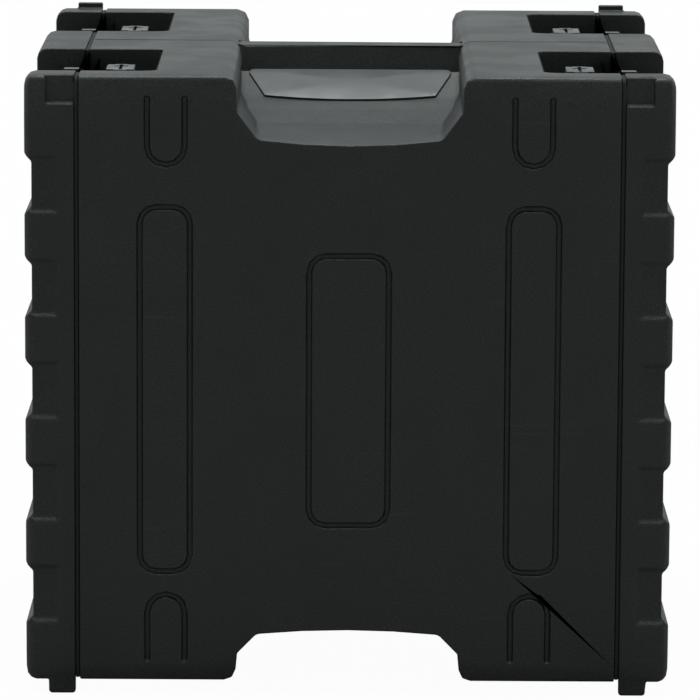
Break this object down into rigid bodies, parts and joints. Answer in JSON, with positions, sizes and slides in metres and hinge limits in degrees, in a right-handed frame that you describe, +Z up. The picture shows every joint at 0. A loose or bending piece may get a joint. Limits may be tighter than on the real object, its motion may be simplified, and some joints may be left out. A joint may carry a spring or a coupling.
{
  "type": "equipment rack case",
  "caption": "Moulded touring rack case with lift-off front and rear lids, recessed wing latches, carrying handles in both sides and rack rails inside.",
  "frame": {"origin": "middle of the footprint, level with the undersides of the feet", "axes": "+X out of the front lid along the rack depth, +Y to the left side, +Z up; the feet are on the -Y side"},
  "size_m": [0.622, 0.612, 0.609],
  "materials": {
    "case_plastic": "fine-grained black moulded polyethylene",
    "grip_plastic": "smooth satin black",
    "seal_rubber": "dull black",
    "rail_steel": "black powder coat",
    "latch_steel": "black coated steel with a sheen"
  },
  "bodies": {
    "case": {"case_shell": "case_plastic", "front_left_rack_rail": "rail_steel", "front_right_rack_rail": "rail_steel", "rear_left_rack_rail": "rail_steel", "rear_right_rack_rail": "rail_steel", "left_handle_grip": "grip_plastic", "right_handle_grip": "grip_plastic", "top_front_left_latch_plate": "latch_steel", "top_front_right_latch_plate": "latch_steel", "top_rear_left_latch_plate": "latch_steel", "top_rear_right_latch_plate": "latch_steel", "bottom_front_left_latch_plate": "latch_steel", "bottom_front_right_latch_plate": "latch_steel", "bottom_rear_left_latch_plate": "latch_steel", "bottom_rear_right_latch_plate": "latch_steel"},
    "front_lid": {"front_lid": "case_plastic", "front_gasket": "seal_rubber", "top_front_left_latch_keeper": "latch_steel", "top_front_right_latch_keeper": "latch_steel", "bottom_front_left_latch_keeper": "latch_steel", "bottom_front_right_latch_keeper": "latch_steel"},
    "rear_lid": {"rear_lid": "case_plastic", "rear_gasket": "seal_rubber", "top_rear_left_latch_keeper": "latch_steel", "top_rear_right_latch_keeper": "latch_steel", "bottom_rear_left_latch_keeper": "latch_steel", "bottom_rear_right_latch_keeper": "latch_steel"},
    "top_front_left_rotor": {"top_front_left_latch_rotor": "latch_steel"},
    "top_front_left_inner_wing": {"top_front_left_inner_wing": "latch_steel"},
    "top_front_left_outer_wing": {"top_front_left_outer_wing": "latch_steel"},
    "top_front_left_hook": {"top_front_left_latch_hook": "latch_steel"},
    "top_front_right_rotor": {"top_front_right_latch_rotor": "latch_steel"},
    "top_front_right_inner_wing": {"top_front_right_inner_wing": "latch_steel"},
    "top_front_right_outer_wing": {"top_front_right_outer_wing": "latch_steel"},
    "top_front_right_hook": {"top_front_right_latch_hook": "latch_steel"},
    "top_rear_left_rotor": {"top_rear_left_latch_rotor": "latch_steel"},
    "top_rear_left_inner_wing": {"top_rear_left_inner_wing": "latch_steel"},
    "top_rear_left_outer_wing": {"top_rear_left_outer_wing": "latch_steel"},
    "top_rear_left_hook": {"top_rear_left_latch_hook": "latch_steel"},
    "top_rear_right_rotor": {"top_rear_right_latch_rotor": "latch_steel"},
    "top_rear_right_inner_wing": {"top_rear_right_inner_wing": "latch_steel"},
    "top_rear_right_outer_wing": {"top_rear_right_outer_wing": "latch_steel"},
    "top_rear_right_hook": {"top_rear_right_latch_hook": "latch_steel"},
    "bottom_front_left_rotor": {"bottom_front_left_latch_rotor": "latch_steel"},
    "bottom_front_left_inner_wing": {"bottom_front_left_inner_wing": "latch_steel"},
    "bottom_front_left_outer_wing": {"bottom_front_left_outer_wing": "latch_steel"},
    "bottom_front_left_hook": {"bottom_front_left_latch_hook": "latch_steel"},
    "bottom_front_right_rotor": {"bottom_front_right_latch_rotor": "latch_steel"},
    "bottom_front_right_inner_wing": {"bottom_front_right_inner_wing": "latch_steel"},
    "bottom_front_right_outer_wing": {"bottom_front_right_outer_wing": "latch_steel"},
    "bottom_front_right_hook": {"bottom_front_right_latch_hook": "latch_steel"},
    "bottom_rear_left_rotor": {"bottom_rear_left_latch_rotor": "latch_steel"},
    "bottom_rear_left_inner_wing": {"bottom_rear_left_inner_wing": "latch_steel"},
    "bottom_rear_left_outer_wing": {"bottom_rear_left_outer_wing": "latch_steel"},
    "bottom_rear_left_hook": {"bottom_rear_left_latch_hook": "latch_steel"},
    "bottom_rear_right_rotor": {"bottom_rear_right_latch_rotor": "latch_steel"},
    "bottom_rear_right_inner_wing": {"bottom_rear_right_inner_wing": "latch_steel"},
    "bottom_rear_right_outer_wing": {"bottom_rear_right_outer_wing": "latch_steel"},
    "bottom_rear_right_hook": {"bottom_rear_right_latch_hook": "latch_steel"}
  },
  "joints": [
    {"name": "front_lid_slide", "type": "slide", "parent": "case", "child": "front_lid", "axis": [1, 0, 0], "range_m": [0, 0.15]},
    {"name": "rear_lid_slide", "type": "slide", "parent": "case", "child": "rear_lid", "axis": [-1, 0, 0], "range_m": [0, 0.15]},
    {"name": "top_front_left_rotor_turn", "type": "hinge", "parent": "case", "child": "top_front_left_rotor", "pos_m": [0.224, 0.1725, 0.589], "axis": [0, 0, 1], "range_deg": [0, 180]},
    {"name": "top_front_left_hook_draw", "type": "hinge", "parent": "case", "child": "top_front_left_hook", "pos_m": [0.234, 0.1725, 0.5836], "axis": [0, 1, 0], "range_deg": [0, 8]},
    {"name": "top_front_left_inner_wing_fold", "type": "hinge", "parent": "top_front_left_rotor", "child": "top_front_left_inner_wing", "pos_m": [0.2213, 0.1725, 0.594], "axis": [0, 1, 0], "range_deg": [0, 90]},
    {"name": "top_front_left_outer_wing_fold", "type": "hinge", "parent": "top_front_left_rotor", "child": "top_front_left_outer_wing", "pos_m": [0.2267, 0.1725, 0.594], "axis": [0, -1, 0], "range_deg": [0, 90]},
    {"name": "top_front_right_rotor_turn", "type": "hinge", "parent": "case", "child": "top_front_right_rotor", "pos_m": [0.224, -0.1725, 0.589], "axis": [0, 0, 1], "range_deg": [0, 180]},
    {"name": "top_front_right_hook_draw", "type": "hinge", "parent": "case", "child": "top_front_right_hook", "pos_m": [0.234, -0.1725, 0.5836], "axis": [0, 1, 0], "range_deg": [0, 8]},
    {"name": "top_front_right_inner_wing_fold", "type": "hinge", "parent": "top_front_right_rotor", "child": "top_front_right_inner_wing", "pos_m": [0.2213, -0.1725, 0.594], "axis": [0, 1, 0], "range_deg": [0, 90]},
    {"name": "top_front_right_outer_wing_fold", "type": "hinge", "parent": "top_front_right_rotor", "child": "top_front_right_outer_wing", "pos_m": [0.2267, -0.1725, 0.594], "axis": [0, -1, 0], "range_deg": [0, 90]},
    {"name": "top_rear_left_rotor_turn", "type": "hinge", "parent": "case", "child": "top_rear_left_rotor", "pos_m": [-0.224, 0.1725, 0.589], "axis": [0, 0, 1], "range_deg": [0, 180]},
    {"name": "top_rear_left_hook_draw", "type": "hinge", "parent": "case", "child": "top_rear_left_hook", "pos_m": [-0.234, 0.1725, 0.5836], "axis": [0, -1, 0], "range_deg": [0, 8]},
    {"name": "top_rear_left_inner_wing_fold", "type": "hinge", "parent": "top_rear_left_rotor", "child": "top_rear_left_inner_wing", "pos_m": [-0.2213, 0.1725, 0.594], "axis": [0, -1, 0], "range_deg": [0, 90]},
    {"name": "top_rear_left_outer_wing_fold", "type": "hinge", "parent": "top_rear_left_rotor", "child": "top_rear_left_outer_wing", "pos_m": [-0.2267, 0.1725, 0.594], "axis": [0, 1, 0], "range_deg": [0, 90]},
    {"name": "top_rear_right_rotor_turn", "type": "hinge", "parent": "case", "child": "top_rear_right_rotor", "pos_m": [-0.224, -0.1725, 0.589], "axis": [0, 0, 1], "range_deg": [0, 180]},
    {"name": "top_rear_right_hook_draw", "type": "hinge", "parent": "case", "child": "top_rear_right_hook", "pos_m": [-0.234, -0.1725, 0.5836], "axis": [0, -1, 0], "range_deg": [0, 8]},
    {"name": "top_rear_right_inner_wing_fold", "type": "hinge", "parent": "top_rear_right_rotor", "child": "top_rear_right_inner_wing", "pos_m": [-0.2213, -0.1725, 0.594], "axis": [0, -1, 0], "range_deg": [0, 90]},
    {"name": "top_rear_right_outer_wing_fold", "type": "hinge", "parent": "top_rear_right_rotor", "child": "top_rear_right_outer_wing", "pos_m": [-0.2267, -0.1725, 0.594], "axis": [0, 1, 0], "range_deg": [0, 90]},
    {"name": "bottom_front_left_rotor_turn", "type": "hinge", "parent": "case", "child": "bottom_front_left_rotor", "pos_m": [0.224, 0.1725, 0.027], "axis": [0, 0, -1], "range_deg": [0, 180]},
    {"name": "bottom_front_left_hook_draw", "type": "hinge", "parent": "case", "child": "bottom_front_left_hook", "pos_m": [0.234, 0.1725, 0.0324], "axis": [0, -1, 0], "range_deg": [0, 8]},
    {"name": "bottom_front_left_inner_wing_fold", "type": "hinge", "parent": "bottom_front_left_rotor", "child": "bottom_front_left_inner_wing", "pos_m": [0.2213, 0.1725, 0.022], "axis": [0, -1, 0], "range_deg": [0, 90]},
    {"name": "bottom_front_left_outer_wing_fold", "type": "hinge", "parent": "bottom_front_left_rotor", "child": "bottom_front_left_outer_wing", "pos_m": [0.2267, 0.1725, 0.022], "axis": [0, 1, 0], "range_deg": [0, 90]},
    {"name": "bottom_front_right_rotor_turn", "type": "hinge", "parent": "case", "child": "bottom_front_right_rotor", "pos_m": [0.224, -0.1725, 0.027], "axis": [0, 0, -1], "range_deg": [0, 180]},
    {"name": "bottom_front_right_hook_draw", "type": "hinge", "parent": "case", "child": "bottom_front_right_hook", "pos_m": [0.234, -0.1725, 0.0324], "axis": [0, -1, 0], "range_deg": [0, 8]},
    {"name": "bottom_front_right_inner_wing_fold", "type": "hinge", "parent": "bottom_front_right_rotor", "child": "bottom_front_right_inner_wing", "pos_m": [0.2213, -0.1725, 0.022], "axis": [0, -1, 0], "range_deg": [0, 90]},
    {"name": "bottom_front_right_outer_wing_fold", "type": "hinge", "parent": "bottom_front_right_rotor", "child": "bottom_front_right_outer_wing", "pos_m": [0.2267, -0.1725, 0.022], "axis": [0, 1, 0], "range_deg": [0, 90]},
    {"name": "bottom_rear_left_rotor_turn", "type": "hinge", "parent": "case", "child": "bottom_rear_left_rotor", "pos_m": [-0.224, 0.1725, 0.027], "axis": [0, 0, -1], "range_deg": [0, 180]},
    {"name": "bottom_rear_left_hook_draw", "type": "hinge", "parent": "case", "child": "bottom_rear_left_hook", "pos_m": [-0.234, 0.1725, 0.0324], "axis": [0, 1, 0], "range_deg": [0, 8]},
    {"name": "bottom_rear_left_inner_wing_fold", "type": "hinge", "parent": "bottom_rear_left_rotor", "child": "bottom_rear_left_inner_wing", "pos_m": [-0.2213, 0.1725, 0.022], "axis": [0, 1, 0], "range_deg": [0, 90]},
    {"name": "bottom_rear_left_outer_wing_fold", "type": "hinge", "parent": "bottom_rear_left_rotor", "child": "bottom_rear_left_outer_wing", "pos_m": [-0.2267, 0.1725, 0.022], "axis": [0, -1, 0], "range_deg": [0, 90]},
    {"name": "bottom_rear_right_rotor_turn", "type": "hinge", "parent": "case", "child": "bottom_rear_right_rotor", "pos_m": [-0.224, -0.1725, 0.027], "axis": [0, 0, -1], "range_deg": [0, 180]},
    {"name": "bottom_rear_right_hook_draw", "type": "hinge", "parent": "case", "child": "bottom_rear_right_hook", "pos_m": [-0.234, -0.1725, 0.0324], "axis": [0, 1, 0], "range_deg": [0, 8]},
    {"name": "bottom_rear_right_inner_wing_fold", "type": "hinge", "parent": "bottom_rear_right_rotor", "child": "bottom_rear_right_inner_wing", "pos_m": [-0.2213, -0.1725, 0.022], "axis": [0, 1, 0], "range_deg": [0, 90]},
    {"name": "bottom_rear_right_outer_wing_fold", "type": "hinge", "parent": "bottom_rear_right_rotor", "child": "bottom_rear_right_outer_wing", "pos_m": [-0.2267, -0.1725, 0.022], "axis": [0, -1, 0], "range_deg": [0, 90]}
  ],
  "couplings": [
    {"joint": "top_front_left_hook_draw", "follows": "top_front_left_rotor_turn", "ratio": 0.044444},
    {"joint": "top_front_left_outer_wing_fold", "follows": "top_front_left_inner_wing_fold", "ratio": 1},
    {"joint": "top_front_right_hook_draw", "follows": "top_front_right_rotor_turn", "ratio": 0.044444},
    {"joint": "top_front_right_outer_wing_fold", "follows": "top_front_right_inner_wing_fold", "ratio": 1},
    {"joint": "top_rear_left_hook_draw", "follows": "top_rear_left_rotor_turn", "ratio": 0.044444},
    {"joint": "top_rear_left_outer_wing_fold", "follows": "top_rear_left_inner_wing_fold", "ratio": 1},
    {"joint": "top_rear_right_hook_draw", "follows": "top_rear_right_rotor_turn", "ratio": 0.044444},
    {"joint": "top_rear_right_outer_wing_fold", "follows": "top_rear_right_inner_wing_fold", "ratio": 1},
    {"joint": "bottom_front_left_hook_draw", "follows": "bottom_front_left_rotor_turn", "ratio": 0.044444},
    {"joint": "bottom_front_left_outer_wing_fold", "follows": "bottom_front_left_inner_wing_fold", "ratio": 1},
    {"joint": "bottom_front_right_hook_draw", "follows": "bottom_front_right_rotor_turn", "ratio": 0.044444},
    {"joint": "bottom_front_right_outer_wing_fold", "follows": "bottom_front_right_inner_wing_fold", "ratio": 1},
    {"joint": "bottom_rear_left_hook_draw", "follows": "bottom_rear_left_rotor_turn", "ratio": 0.044444},
    {"joint": "bottom_rear_left_outer_wing_fold", "follows": "bottom_rear_left_inner_wing_fold", "ratio": 1},
    {"joint": "bottom_rear_right_hook_draw", "follows": "bottom_rear_right_rotor_turn", "ratio": 0.044444},
    {"joint": "bottom_rear_right_outer_wing_fold", "follows": "bottom_rear_right_inner_wing_fold", "ratio": 1}
  ]
}
